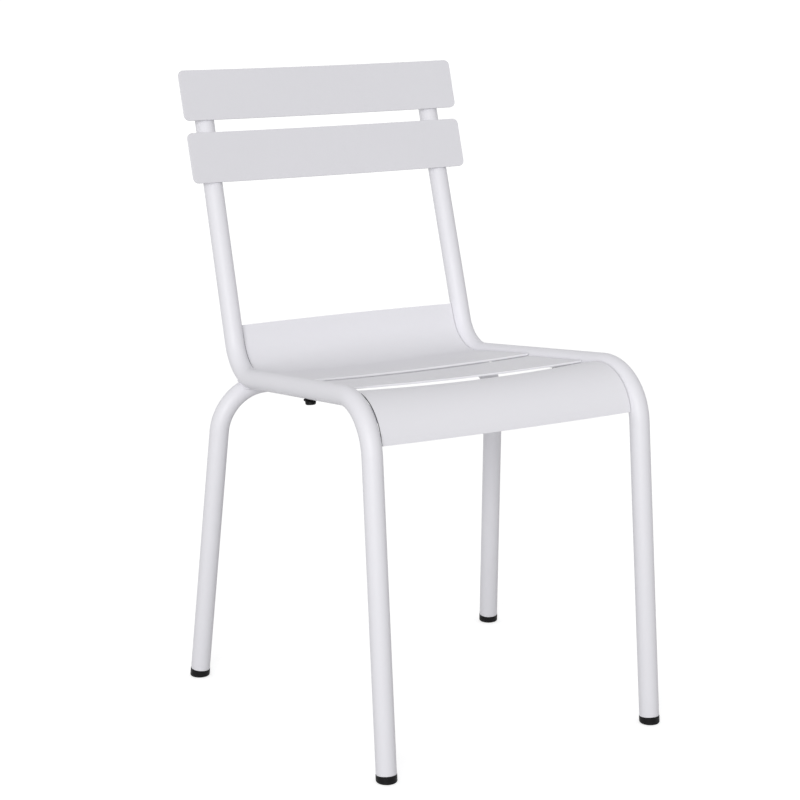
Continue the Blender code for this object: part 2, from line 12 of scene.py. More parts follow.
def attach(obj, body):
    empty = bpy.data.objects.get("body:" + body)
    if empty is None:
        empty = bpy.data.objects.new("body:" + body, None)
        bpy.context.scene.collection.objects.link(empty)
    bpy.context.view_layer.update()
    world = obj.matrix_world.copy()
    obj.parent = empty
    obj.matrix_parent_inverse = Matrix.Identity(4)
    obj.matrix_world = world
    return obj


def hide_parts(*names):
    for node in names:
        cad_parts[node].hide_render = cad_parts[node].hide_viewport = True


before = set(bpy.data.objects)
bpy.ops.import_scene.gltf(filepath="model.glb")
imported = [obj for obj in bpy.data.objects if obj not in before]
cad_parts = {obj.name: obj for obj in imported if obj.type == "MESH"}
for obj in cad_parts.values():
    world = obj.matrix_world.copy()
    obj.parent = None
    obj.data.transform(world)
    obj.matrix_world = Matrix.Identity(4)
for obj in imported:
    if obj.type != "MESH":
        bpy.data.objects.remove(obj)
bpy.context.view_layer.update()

MM = 0.001

# Tube and sheet
TUBE_RADIUS = 12.5 * MM
TUBE_WALL = 1.5 * MM
TUBE_END_ROUND = 0.4 * MM
SLAT_THICKNESS = 2.5 * MM
SLAT_EDGE_ROUND = 0.5 * MM
FIT = 0.3 * MM

# Side frame, in its own plane: corners of the tube's centre line
KNEE_Y = -223.8 * MM
KNEE_HEIGHT = 451.9 * MM
SEAT_RUN = 373.7 * MM
SEAT_DROP = 45.7 * MM
FRONT_LEG_RAKE = math.radians(5.4)
RECLINE = math.radians(17.5)
UPRIGHT_LENGTH = 390.0 * MM
FRONT_BEND_RADIUS = 67.0 * MM
REAR_BEND_RADIUS = 53.0 * MM
FRAME_HALF_SPACING = 179.9 * MM
TOE_IN = math.radians(2.35)

# Rear-leg arch, in its own leaning plane
REAR_FOOT_Y = 171.9 * MM
REAR_FOOT_HALF_SPREAD = 227.9 * MM
REAR_LEG_LEAN = math.radians(5.8)
REAR_LEG_SPLAY = math.radians(3.05)
ARCH_HEIGHT = 401.0 * MM
ARCH_BEND_RADIUS = 62.5 * MM

# Back slats
BACK_SLAT_WIDTH = 409.5 * MM
BACK_SLAT_DEPTH = 66.3 * MM
BACK_SLAT_SPACING = 16.1 * MM
BACK_SLAT_CORNER = 7.5 * MM
BACK_SLAT_BOW = 5.0 * MM
UPRIGHT_BELOW_SLAT_TOP = 12.2 * MM

# Seat slats: where each starts and ends along the centre line, from the two bends
REAR_SLAT_RISE = 22.7 * MM
REAR_SLAT_FLAT = 120.2 * MM
MIDDLE_SLAT_WIDTH = 108.3 * MM
SEAT_SLAT_SPACING = 7.3 * MM
FRONT_SLAT_SHORT_OF_BEND_END = 12.3 * MM
FREE_EDGE_CROWN = 1.5 * MM
MIDDLE_SLAT_TWIST = 1.0 * MM
SEAT_SLAT_SHORT_OF_LEFT_TUBE = 1.3 * MM
SEAT_SLAT_SHORT_OF_RIGHT_TUBE = 0.5 * MM

# Seat slats' narrow faces: how far sideways each kind looks, and its place among the slat's materials: the painted
# highlight on the long edges, the painted shade on the ends
LONG_EDGE_SIDEWAYS = 0.3
SLAT_END_SIDEWAYS = 0.8
LONG_EDGE_HIGHLIGHT_SLOT = 1
SLAT_END_SHADE_SLOT = 2

# Black plastic fittings
FRONT_CAP_HEIGHT = 9.3 * MM
REAR_CAP_HEIGHT = 10.6 * MM
CAP_OUTSIDE_TUBE = 0.4 * MM
CAP_EDGE_ROUND = 2.4 * MM
PLUG_HEIGHT = 3.0 * MM
PAD_BEFORE_FRONT_BEND = 92.3 * MM
PAD_DIAMETER = 14.0 * MM
PAD_TIP_DIAMETER = 12.8 * MM
PAD_DROP = 6.3 * MM
PAD_TIP_ROUND = 1.8 * MM
PAD_TAIL_REACH = 16.2 * MM
PAD_TAIL_DIAMETER = 2.0 * MM
PAD_PIP_DIAMETER = 3.4 * MM

# Fineness
TUBE_SIDES = 72
BEND_STEP = math.radians(3.0)
SHEET_STEP = 3.0 * MM
SHEET_STRIPS = 24
SLAT_EDGE_STEPS = 3
TUBE_END_STEPS = 2
FITTING_ROUND_STEPS = 6
DOME_STEPS = 12
BEVEL_FROM = math.radians(50.0)
SLAT_CORNER_STEPS = 6
SLAT_CORNER_MERGE = 0.1 * MM
WIDE_FACE_WEIGHT = 100

# Weld seams: how often each kind is eased, and how its mesh is cleaned
SEAM_SMOOTHINGS = {"back": 0, "arch": 1, "seat": 4}
SEAM_EASE = 0.5
SEAM_MERGE = 0.01 * MM
SEAM_FLAT_ENOUGH = 0.7
SEAM_SQUARE_ENOUGH = 0.9
SEAM_SUBDIVISIONS = 2

# Coats: tone, tone of its clouds, size and depth of its orange peel
TUBE_COAT = ((0.800, 0.794, 0.834), (0.785, 0.779, 0.820), 900.0, 0.012 * MM)
# The seat and back sheets carry the tubes' one powder coat: the seat's copy is painted a little lighter (painted
# light), the back's darker (painted shade)
SEAT_COAT_PAINTED_LIGHTER = ((0.818, 0.812, 0.850), (0.802, 0.796, 0.835), 700.0, 0.010 * MM)
BACK_COAT_PAINTED_DARKER = ((0.750, 0.744, 0.780), (0.735, 0.729, 0.765), 700.0, 0.010 * MM)
# Painted highlight: a paler coat on the seat slats' long sheared edges, for the light they catch
LONG_EDGE_PAINTED_HIGHLIGHT = ((0.930, 0.925, 0.960), (0.900, 0.895, 0.930), 700.0, 0.010 * MM)
# Painted shade: a dark coat on the seat slats' ends, for the shade in the slit beside each tube
SLAT_END_PAINTED_SHADE = ((0.180, 0.180, 0.185), (0.240, 0.240, 0.245), 700.0, 0.010 * MM)
WELD_COAT = ((0.800, 0.794, 0.834), (0.785, 0.779, 0.820), 450.0, 0.12 * MM)
COAT_ROUGHNESS = (0.44, 0.54)
CLOUDS = {"Scale": 14.0, "Detail": 3.0, "Roughness": 0.55}
PEEL = {"Detail": 1.5, "Roughness": 0.5}

# Black plastic: its tone, where the floor scuffed it, and its grain
PLASTIC_TONE = (0.006, 0.006, 0.0065)
SCUFFED_TONE = (0.022, 0.022, 0.022)
PLASTIC_ROUGHNESS = (0.38, 0.55)
PLASTIC_SHINE = 0.12
SCUFFS = {"Scale": 260.0, "Detail": 4.0, "Roughness": 0.7}
SCUFF_HEIGHT = 4.0 * MM
SCUFF_AT_FLOOR = 0.6
GRAIN = {"Scale": 2200.0, "Detail": 2.0}
GRAIN_DEPTH = 0.02 * MM

# Camera
CAMERA_AIM = Vector((-15.6, 6.3, 385.9)) * MM
CAMERA_DISTANCE = 2783.3 * MM
CAMERA_AZIMUTH = math.radians(-30.112)
CAMERA_ELEVATION = math.radians(12.920)
CAMERA_ROLL = math.radians(0.111)
CAMERA_LENS = 97.784
CAMERA_SENSOR = 36.0
CAMERA_REACH = 200.0

# Room, floor and lamp
ROOM_LIGHT = 0.571
BACKGROUND_WHITE = 1.0
WHITE = (1.0, 1.0, 1.0)
FLOOR_HALF_SIZE = 30.0
FLOOR_TONE = (0.60, 0.60, 0.60)
FLOOR_ROUGHNESS = 0.9
FLOOR_GLOW = 0.65
FAR_FLOOR_GLOW = 0.74
NEAR_FLOOR = 1.0
FAR_FLOOR = 5.0
CHAIR_MIDDLE = Vector((0, 0, 0.42))
SOFTBOX_AZIMUTH = math.radians(-42.0)
SOFTBOX_ELEVATION = math.radians(14.0)
SOFTBOX_DISTANCE = 9.0
SOFTBOX_WIDTH = 4.0
SOFTBOX_POWER = 416.0

SIDES = ((-1, "left"), (1, "right"))
SIDE_NORMAL = Vector((1, 0, 0))
FLOOR_POINT = Vector((0, 0, 0))
DOWN = Vector((0, 0, -1))
UPRIGHT_AHEAD = Vector((0, math.sin(RECLINE), math.cos(RECLINE)))
SLAT_AHEAD = Vector((0, -math.cos(RECLINE), math.sin(RECLINE)))


# The tubes' centre lines


def bent_line(corners, radii):
    """A line with a round bend at each inner corner: ("run", start, end) and ("bend", centre, arm, axis, angle)."""
    stretches = []
    start = corners[0]
    for before, corner, after, radius in zip(corners, corners[1:], corners[2:], radii):
        back = (before - corner).normalized()
        ahead = (after - corner).normalized()
        half = back.angle(ahead) / 2
        enter = corner + back * radius / math.tan(half)
        centre = corner + (back + ahead).normalized() * radius / math.sin(half)
        arm = enter - centre
        stretches.append(("run", start, enter))
        stretches.append(("bend", centre, arm, arm.cross(-back).normalized(), math.pi - 2 * half))
        start = corner + ahead * radius / math.tan(half)
    stretches.append(("run", start, corners[-1]))
    return stretches


def stretch_length(stretch):
    if stretch[0] == "run":
        return (stretch[2] - stretch[1]).length
    return stretch[2].length * stretch[4]


def place_on(line, distance):
    """The point and direction of a centre line at a distance from its start."""
    for stretch in line:
        length = stretch_length(stretch)
        if distance <= length or stretch is line[-1]:
            break
        distance -= length
    if stretch[0] == "run":
        direction = (stretch[2] - stretch[1]).normalized()
        return stretch[1] + direction * distance, direction
    centre, arm, axis = stretch[1:4]
    turned = Matrix.Rotation(distance / arm.length, 3, axis) @ arm
    return centre + turned, axis.cross(turned).normalized()


HEEL = Vector((0, KNEE_Y + SEAT_RUN, KNEE_HEIGHT - SEAT_DROP))
KNEE = Vector((0, KNEE_Y, KNEE_HEIGHT))
TOE = Vector((0, KNEE_Y - KNEE_HEIGHT * math.tan(FRONT_LEG_RAKE), 0))
SIDE_CORNERS = [HEEL + UPRIGHT_AHEAD * UPRIGHT_LENGTH, HEEL, KNEE, TOE]
SIDE_LINE = bent_line(SIDE_CORNERS, [REAR_BEND_RADIUS, FRONT_BEND_RADIUS])
REAR_BEND_TOP = stretch_length(SIDE_LINE[0])
REAR_BEND_END = REAR_BEND_TOP + stretch_length(SIDE_LINE[1])
FRONT_BEND_START = REAR_BEND_END + stretch_length(SIDE_LINE[2])
FRONT_BEND_END = FRONT_BEND_START + stretch_length(SIDE_LINE[3])

REAR_SLAT = (REAR_BEND_TOP - REAR_SLAT_RISE, REAR_BEND_END + REAR_SLAT_FLAT)
MIDDLE_SLAT = (REAR_SLAT[1] + SEAT_SLAT_SPACING, REAR_SLAT[1] + SEAT_SLAT_SPACING + MIDDLE_SLAT_WIDTH)
FRONT_SLAT = (MIDDLE_SLAT[1] + SEAT_SLAT_SPACING, FRONT_BEND_END - FRONT_SLAT_SHORT_OF_BEND_END)

# Each seat slat: name, span, crowns and dishes of its back and front edges, its lifts over the centre line, and the
# twist of its front edge, up on the left
SEAT_SLATS = (
    ("rear", REAR_SLAT, (FREE_EDGE_CROWN, 0.0), (2.9 * MM, 2.9 * MM), (0.3 * MM, 4.2 * MM, 5.5 * MM), 0.0),
    ("middle", MIDDLE_SLAT, (0.0, 0.0), (3.2 * MM, 3.2 * MM), (2.9 * MM, 3.3 * MM, 3.7 * MM), MIDDLE_SLAT_TWIST),
    ("front", FRONT_SLAT, (0.0, FREE_EDGE_CROWN), (5.0 * MM, 4.5 * MM), (0.6 * MM, 5.6 * MM, 1.7 * MM), 0.0),
)

SHOULDER_X = REAR_FOOT_HALF_SPREAD - ARCH_HEIGHT * math.tan(REAR_LEG_SPLAY)
ARCH_CORNERS = [
    Vector((-REAR_FOOT_HALF_SPREAD, 0, 0)),
    Vector((-SHOULDER_X, 0, ARCH_HEIGHT)),
    Vector((SHOULDER_X, 0, ARCH_HEIGHT)),
    Vector((REAR_FOOT_HALF_SPREAD, 0, 0)),
]
ARCH_LINE = bent_line(ARCH_CORNERS, [ARCH_BEND_RADIUS, ARCH_BEND_RADIUS])
ARCH_PLACE = Matrix.Translation((0, REAR_FOOT_Y, 0)) @ Matrix.Rotation(REAR_LEG_LEAN, 4, "X")


def side_place(side):
    """Where a side frame's plane stands: side is -1 for the left, 1 for the right."""
    return Matrix.Translation((side * FRAME_HALF_SPACING, 0, 0)) @ Matrix.Rotation(side * TOE_IN, 4, "Z")


# Shader nodes

# The colour sockets of a Mix node, whose names repeat
MIX_LOW = 6
MIX_HIGH = 7
MIX_RESULT = 2


def add_node(tree, kind, **values):
    """A new node. Each value goes to the input of that name, or else to the node's own setting."""
    made = tree.nodes.new(kind)
    for name, value in values.items():
        label = name.replace("_", " ")
        if label in made.inputs:
            made.inputs[label].default_value = value
        else:
            setattr(made, name, value)
    return made


def mixed(tree, factor, low, high):
    """A number that goes from low to high with a factor socket."""
    made = add_node(tree, "ShaderNodeMapRange", To_Min=low, To_Max=high)
    tree.links.new(factor, made.inputs["Value"])
    return made.outputs["Result"]


def new_material(name):
    """A material, its node tree and its shader."""
    made = bpy.data.materials.new(name)
    made.use_nodes = True
    return made, made.node_tree, made.node_tree.nodes["Principled BSDF"]


def raise_surface(tree, height, depth, shader):
    """Lets a height socket raise the shader's surface by up to a depth."""
    bump = add_node(tree, "ShaderNodeBump", Strength=1.0, Distance=depth)
    tree.links.new(height, bump.inputs["Height"])
    tree.links.new(bump.outputs["Normal"], shader.inputs["Normal"])


def coat_texture():
    """The sprayed surface that all coated metal shares: faint clouds of tone, its roughness and its orange peel."""
    group = bpy.data.node_groups.new("coat_texture", "ShaderNodeTree")
    for name, kind in (("Colour", "Color"), ("Cloud tone", "Color"), ("Peel size", "Float")):
        group.interface.new_socket(name, in_out="INPUT", socket_type="NodeSocket" + kind)
    for name, kind in (("Colour", "Color"), ("Roughness", "Float"), ("Height", "Float")):
        group.interface.new_socket(name, in_out="OUTPUT", socket_type="NodeSocket" + kind)
    given = add_node(group, "NodeGroupInput")
    result = add_node(group, "NodeGroupOutput")
    place = add_node(group, "ShaderNodeTexCoord")
    clouds = add_node(group, "ShaderNodeTexNoise", **CLOUDS)
    peel = add_node(group, "ShaderNodeTexNoise", **PEEL)
    for texture in (clouds, peel):
        group.links.new(place.outputs["Object"], texture.inputs["Vector"])
    group.links.new(given.outputs["Peel size"], peel.inputs["Scale"])
    blend = add_node(group, "ShaderNodeMix", data_type="RGBA")
    group.links.new(clouds.outputs["Fac"], blend.inputs["Factor"])
    group.links.new(given.outputs["Colour"], blend.inputs[MIX_LOW])
    group.links.new(given.outputs["Cloud tone"], blend.inputs[MIX_HIGH])
    group.links.new(blend.outputs[MIX_RESULT], result.inputs["Colour"])
    group.links.new(mixed(group, clouds.outputs["Fac"], *COAT_ROUGHNESS), result.inputs["Roughness"])
    group.links.new(peel.outputs["Fac"], result.inputs["Height"])
    return group


def coat_material(name, texture, coat):
    """Satin powder coat."""
    tone, cloud, peel_size, peel_depth = coat
    made, tree, shader = new_material(name)
    surface = add_node(tree, "ShaderNodeGroup", node_tree=texture)
    surface.inputs["Colour"].default_value = (*tone, 1.0)
    surface.inputs["Cloud tone"].default_value = (*cloud, 1.0)
    surface.inputs["Peel size"].default_value = peel_size
    tree.links.new(surface.outputs["Colour"], shader.inputs["Base Color"])
    tree.links.new(surface.outputs["Roughness"], shader.inputs["Roughness"])
    raise_surface(tree, surface.outputs["Height"], peel_depth, shader)
    return made


def plastic_material(name):
    """Black moulded plastic with a fine grain, a little paler where the floor has scuffed it."""
    made, tree, shader = new_material(name)
    place = add_node(tree, "ShaderNodeTexCoord")
    grain = add_node(tree, "ShaderNodeTexNoise", **GRAIN)
    scuffs = add_node(tree, "ShaderNodeTexNoise", **SCUFFS)
    apart = add_node(tree, "ShaderNodeSeparateXYZ")
    for reader in (grain, scuffs, apart):
        tree.links.new(place.outputs["Object"], reader.inputs["Vector"])
    low_down = add_node(
        tree, "ShaderNodeMapRange", From_Min=SCUFF_HEIGHT, From_Max=0.0, To_Min=0.0, To_Max=SCUFF_AT_FLOOR
    )
    tree.links.new(apart.outputs["Z"], low_down.inputs["Value"])
    scuffed = add_node(tree, "ShaderNodeMath", operation="MULTIPLY")
    tree.links.new(low_down.outputs["Result"], scuffed.inputs[0])
    tree.links.new(scuffs.outputs["Fac"], scuffed.inputs[1])
    tone = add_node(tree, "ShaderNodeMix", data_type="RGBA")
    tree.links.new(scuffed.outputs["Value"], tone.inputs["Factor"])
    tone.inputs[MIX_LOW].default_value = (*PLASTIC_TONE, 1.0)
    tone.inputs[MIX_HIGH].default_value = (*SCUFFED_TONE, 1.0)
    shader.inputs["Specular IOR Level"].default_value = PLASTIC_SHINE
    tree.links.new(tone.outputs[MIX_RESULT], shader.inputs["Base Color"])
    tree.links.new(mixed(tree, scuffs.outputs["Fac"], *PLASTIC_ROUGHNESS), shader.inputs["Roughness"])
    raise_surface(tree, grain.outputs["Fac"], GRAIN_DEPTH, shader)
    return made


# Building pieces


def in_scene(name, data):
    """A new object in the scene."""
    made = bpy.data.objects.new(name, data)
    bpy.context.scene.collection.objects.link(made)
    return made


def finished_mesh(name, builder):
    mesh = bpy.data.meshes.new(name)
    builder.to_mesh(mesh)
    builder.free()
    return mesh


def new_piece(name, builder, surface, slot, *nodes):
    """A finished mesh as a piece of the chair that stands for CAD nodes."""
    mesh = finished_mesh(name, builder)
    mesh.shade_smooth()
    mesh.materials.append(surface)
    piece = in_scene(name, mesh)
    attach(piece, "root")
    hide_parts(*nodes)
    return piece


def weigh_normals(piece):
    """Keeps wide faces flat where a small rounded edge meets them."""
    weights = piece.modifiers.new("wide faces stay flat", "WEIGHTED_NORMAL")
    weights.weight = WIDE_FACE_WEIGHT


def round_off(builder, parts, width, steps, affect="EDGES"):
    """Rounds edges, or the corners of a flat sheet."""
    bmesh.ops.bevel(builder, geom=parts, offset=width, affect=affect, segments=steps, profile=0.5, material=-1)


def sharp_edges(builder):
    return [edge for edge in builder.edges if edge.calc_face_angle(0.0) > BEVEL_FROM]


def edges_below(builder, height):
    return [edge for edge in builder.edges if max(vert.co.z for vert in edge.verts) < height]


def cut(builder, point, normal, clear=False):
    """Cuts all of a mesh by a plane, and clears away what lies beyond it if told."""
    everything = builder.verts[:] + builder.edges[:] + builder.faces[:]
    bmesh.ops.bisect_plane(builder, geom=everything, plane_co=point, plane_no=normal, clear_outer=clear)


def cut_level(builder):
    """Keeps what lies above z = 0, and closes the cut."""
    cut(builder, FLOOR_POINT, DOWN, clear=True)
    bmesh.ops.holes_fill(builder, edges=[edge for edge in builder.edges if edge.is_boundary])


# Tubes


def drawn_on(builder, rim, reach):
    """Draws the open end of a tube on by a straight run, and returns the new open end."""
    made = bmesh.ops.extrude_edge_only(builder, edges=rim)["geom"]
    verts = [part for part in made if isinstance(part, bmesh.types.BMVert)]
    bmesh.ops.translate(builder, verts=verts, vec=reach)
    return [part for part in made if isinstance(part, bmesh.types.BMEdge) and part.is_boundary]


def bent_on(builder, rim, centre, axis, angle):
    """Spins the open end of a tube round a bend, and returns the new open end."""
    verts = list({vert for edge in rim for vert in edge.verts})
    made = bmesh.ops.spin(
        builder, geom=verts + rim, cent=centre, axis=axis, angle=angle, steps=math.ceil(angle / BEND_STEP)
    )["geom_last"]
    return [part for part in made if isinstance(part, bmesh.types.BMEdge) and part.is_boundary]


def bent_tube(line, short_at_start, short_at_end):
    """A tube's outside along a centre line: a circle drawn on along each run and spun round each bend."""
    builder = bmesh.new()
    ahead = (line[0][2] - line[0][1]).normalized()
    across = ahead.to_track_quat("Z", "Y").to_matrix().to_4x4()
    start = Matrix.Translation(line[0][1] + ahead * short_at_start)
    bmesh.ops.create_circle(builder, segments=TUBE_SIDES, radius=TUBE_RADIUS, matrix=start @ across)
    rim = builder.edges[:]
    for stretch in line:
        if stretch[0] == "bend":
            centre, _, axis, angle = stretch[1:]
            rim = bent_on(builder, rim, centre, axis, angle)
            continue
        reach = stretch[2] - stretch[1]
        if stretch is line[0]:
            reach -= ahead * short_at_start
        if stretch is line[-1]:
            reach -= reach.normalized() * short_at_end
        rim = drawn_on(builder, rim, reach)
    bmesh.ops.recalc_face_normals(builder, faces=builder.faces)
    return builder


def tube_piece(name, builder, surface, node):
    """A tube with its wall and the soft edges of its coated ends."""
    piece = new_piece(name, builder, surface, "coat_white", node)
    wall = piece.modifiers.new("wall", "SOLIDIFY")
    wall.thickness = TUBE_WALL
    wall.offset = -1.0
    ends = piece.modifiers.new("soft ends", "BEVEL")
    ends.width = TUBE_END_ROUND
    ends.segments = TUBE_END_STEPS
    ends.limit_method = "ANGLE"
    ends.angle_limit = BEVEL_FROM


def side_tubes(surface):
    for side, word in SIDES:
        builder = bent_tube(SIDE_LINE, 0.0, FRONT_CAP_HEIGHT)
        bmesh.ops.transform(builder, matrix=side_place(side), verts=builder.verts)
        tube_piece("side_tube_" + word, builder, surface, "side_frame_" + word)


def rear_tube(surface):
    builder = bent_tube(ARCH_LINE, REAR_CAP_HEIGHT, REAR_CAP_HEIGHT)
    bmesh.ops.transform(builder, matrix=ARCH_PLACE, verts=builder.verts)
    tube_piece("rear_leg_tube", builder, surface, "rear_leg_arch")


# Slats


def thicken(builder):
    """Gives a sheet its thickness on the side that its faces look to, and rounds its sheared edges a little."""
    builder.normal_update()
    bmesh.ops.solidify(builder, geom=builder.faces[:], thickness=-SLAT_THICKNESS)
    bmesh.ops.recalc_face_normals(builder, faces=builder.faces)
    round_off(builder, sharp_edges(builder), SLAT_EDGE_ROUND, SLAT_EDGE_STEPS)


def bulge(across):
    """The share of a dish, crown or bow: nothing at the ends of a slat, all of it at mid-width."""
    return 1 - across * across


def eased(lifts, share):
    """The smooth curve through three lifts, at the start, middle and end of a slat."""
    back, middle, front = lifts
    return back + share * (4 * middle - 3 * back - front) + share * share * (2 * back + 2 * front - 4 * middle)


def seat_point(across, share, span, crowns, dishes, lifts, twist):
    """A point on the top of a seat slat: across it from -1 to 1, and along it from 0 at its back edge to 1."""
    dish = dishes[0] + (dishes[1] - dishes[0]) * share
    low, high = span
    spread = bulge(across) * (crowns[1] * share - crowns[0] * (1 - share))
    point, ahead = place_on(SIDE_LINE, low + (high - low) * share + spread)
    outward = ahead.cross(SIDE_NORMAL)
    level = point + outward * (eased(lifts, share) - twist * across * share)
    short = SEAT_SLAT_SHORT_OF_LEFT_TUBE if across < 0 else SEAT_SLAT_SHORT_OF_RIGHT_TUBE
    end_x = FRAME_HALF_SPACING - level.y * math.sin(TOE_IN) - (TUBE_RADIUS + short) / math.cos(TOE_IN)
    top = Vector((end_x * across, level.y * math.cos(TOE_IN), level.z))
    return top - outward * dish * bulge(across)


def paint_light_and_shade_on_narrow_faces(builder):
    """Sets a seat slat's sheared edges apart from its faces: a painted highlight on the long ones, and painted shade
    on its ends.
    """
    builder.normal_update()
    narrow = SLAT_THICKNESS - SLAT_EDGE_ROUND
    for face in builder.faces:
        if min(edge.calc_length() for edge in face.edges) < narrow:
            sideways = abs(face.normal.x)
            if sideways < LONG_EDGE_SIDEWAYS:
                face.material_index = LONG_EDGE_HIGHLIGHT_SLOT
            elif sideways > SLAT_END_SIDEWAYS:
                face.material_index = SLAT_END_SHADE_SLOT


def seat_slats(surface, edge_highlight_surface, end_shade_surface):
    """Each seat slat: a grid laid along the rails, dished, given its thickness and softened at its edges. Its long
    sheared edges get a paler coat, a painted highlight, and its ends, in the slit beside each tube, a dark coat:
    painted shade."""
    for name, span, *form in SEAT_SLATS:
        builder = bmesh.new()
        steps = math.ceil((span[1] - span[0]) / SHEET_STEP)
        bmesh.ops.create_grid(builder, x_segments=SHEET_STRIPS, y_segments=steps, size=1.0)
        for vert in builder.verts:
            vert.co = seat_point(vert.co.x, (vert.co.y + 1) / 2, span, *form)
        thicken(builder)
        paint_light_and_shade_on_narrow_faces(builder)
        piece = new_piece("seat_sheet_" + name, builder, surface, "coat_white", "seat_slat_" + name)
        # The paler edge coat is a painted highlight, and the dark end coat is painted shade
        piece.data.materials.append(edge_highlight_surface)
        piece.data.materials.append(end_shade_surface)
        weigh_normals(piece)


def back_slat_setback(centre, x):
    """How far behind the front of the uprights a back slat lies, at x: nothing where it crosses them."""
    spot = HEEL + UPRIGHT_AHEAD * centre
    upright_x = FRAME_HALF_SPACING - spot.y * math.sin(TOE_IN)
    half_width = BACK_SLAT_WIDTH / 2
    return BACK_SLAT_BOW * (bulge(x / half_width) - bulge(upright_x / half_width))


def back_slats(surface):
    """Each back slat: a plate with round corners, bowed back between its ends."""
    upper = UPRIGHT_LENGTH + UPRIGHT_BELOW_SLAT_TOP - BACK_SLAT_DEPTH / 2
    for name, centre in (("upper", upper), ("lower", upper - BACK_SLAT_DEPTH - BACK_SLAT_SPACING)):
        builder = bmesh.new()
        bmesh.ops.create_grid(builder, x_segments=1, y_segments=1, size=0.5)
        bmesh.ops.scale(builder, vec=(BACK_SLAT_WIDTH, BACK_SLAT_DEPTH, 1.0), verts=builder.verts)
        round_off(builder, builder.verts[:], BACK_SLAT_CORNER, SLAT_CORNER_STEPS, "VERTICES")
        flat = BACK_SLAT_WIDTH - 2 * BACK_SLAT_CORNER
        for strip in range(SHEET_STRIPS + 1):
            cut(builder, (flat * (strip / SHEET_STRIPS - 0.5), 0, 0), SIDE_NORMAL)
        bmesh.ops.remove_doubles(builder, verts=builder.verts, dist=SLAT_CORNER_MERGE)
        bmesh.ops.rotate(builder, matrix=Matrix.Rotation(math.pi / 2, 3, "X"), verts=builder.verts)
        for vert in builder.verts:
            vert.co.y = back_slat_setback(centre, vert.co.x)
        spot = HEEL + UPRIGHT_AHEAD * centre
        spot.y *= math.cos(TOE_IN)
        spot += SLAT_AHEAD * (TUBE_RADIUS + FIT)
        place = Matrix.Translation(spot) @ Matrix.Rotation(-RECLINE, 4, "X")
        bmesh.ops.transform(builder, matrix=place, verts=builder.verts)
        thicken(builder)
        node = "back_slat_" + name
        weigh_normals(new_piece("back_sheet_" + name, builder, surface, "coat_white", node))


# Welds


def weld_seams(surface):
    """Each weld: the CAD bead, merged, ground down where the chair shows none, and smoothed."""
    for node in sorted(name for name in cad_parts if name.startswith("weld")):
        builder = bmesh.new()
        builder.from_mesh(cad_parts[node].data)
        bmesh.ops.remove_doubles(builder, verts=builder.verts, dist=SEAM_MERGE)
        bmesh.ops.join_triangles(
            builder,
            faces=builder.faces,
            angle_face_threshold=SEAM_FLAT_ENOUGH,
            angle_shape_threshold=SEAM_SQUARE_ENOUGH,
        )
        for _ in range(SEAM_SMOOTHINGS[node.split("_")[1]]):
            bmesh.ops.smooth_vert(
                builder, verts=builder.verts, factor=SEAM_EASE, use_axis_x=True, use_axis_y=True, use_axis_z=True
            )
        seam = new_piece(node.replace("weld", "seam"), builder, surface, "coat_white", node)
        smooth = seam.modifiers.new("smooth", "SUBSURF")
        smooth.levels = SEAM_SUBDIVISIONS
        smooth.render_levels = SEAM_SUBDIVISIONS


# Black plastic fittings


def foot_cap(name, foot, leg, height, surface, node):
    """A cap's head: a plug a little wider than the tube, cut level with the floor, its lower edge rounded."""
    radius = TUBE_RADIUS + CAP_OUTSIDE_TUBE
    builder = bmesh.new()
    bmesh.ops.create_cone(
        builder,
        cap_ends=True,
        segments=TUBE_SIDES,
        radius1=radius,
        radius2=radius,
        depth=2 * height,
        matrix=Matrix.Translation(foot) @ leg.normalized().to_track_quat("Z", "Y").to_matrix().to_4x4(),
    )
    cut_level(builder)
    round_off(builder, edges_below(builder, FIT), CAP_EDGE_ROUND, FITTING_ROUND_STEPS)
    round_off(builder, sharp_edges(builder), TUBE_END_ROUND, TUBE_END_STEPS)
    bmesh.ops.recalc_face_normals(builder, faces=builder.faces)
    weigh_normals(new_piece(name, builder, surface, "plastic_black", node))


def foot_caps(surface):
    for side, word in SIDES:
        place = side_place(side)
        top, foot = SIDE_LINE[-1][1:]
        leg = place @ top - place @ foot
        foot_cap("front_cap_" + word, place @ foot, leg, FRONT_CAP_HEIGHT, surface, "front_foot_cap_" + word)
        top, foot = ARCH_LINE[-1][1:]
        if side < 0:
            foot, top = ARCH_LINE[0][1:]
        leg = ARCH_PLACE @ top - ARCH_PLACE @ foot
        foot_cap("rear_cap_" + word, ARCH_PLACE @ foot, leg, REAR_CAP_HEIGHT, surface, "rear_foot_cap_" + word)


def upright_plugs(surface):
    """The plugs in the tops of the uprights: low domes."""
    end, inward = place_on(SIDE_LINE, 0.0)
    for side, word in SIDES:
        builder = bmesh.new()
        bmesh.ops.create_uvsphere(builder, u_segments=TUBE_SIDES, v_segments=DOME_STEPS, radius=TUBE_RADIUS)
        cut_level(builder)
        bmesh.ops.scale(builder, vec=(1.0, 1.0, PLUG_HEIGHT / TUBE_RADIUS), verts=builder.verts)
        place = side_place(side) @ Matrix.Translation(end - inward * FIT)
        turn = (-inward).to_track_quat("Z", "Y").to_matrix().to_4x4()
        bmesh.ops.transform(builder, matrix=place @ turn, verts=builder.verts)
        bmesh.ops.recalc_face_normals(builder, faces=builder.faces)
        weigh_normals(new_piece("plug_" + word, builder, surface, "plastic_black", "upright_plug_" + word))


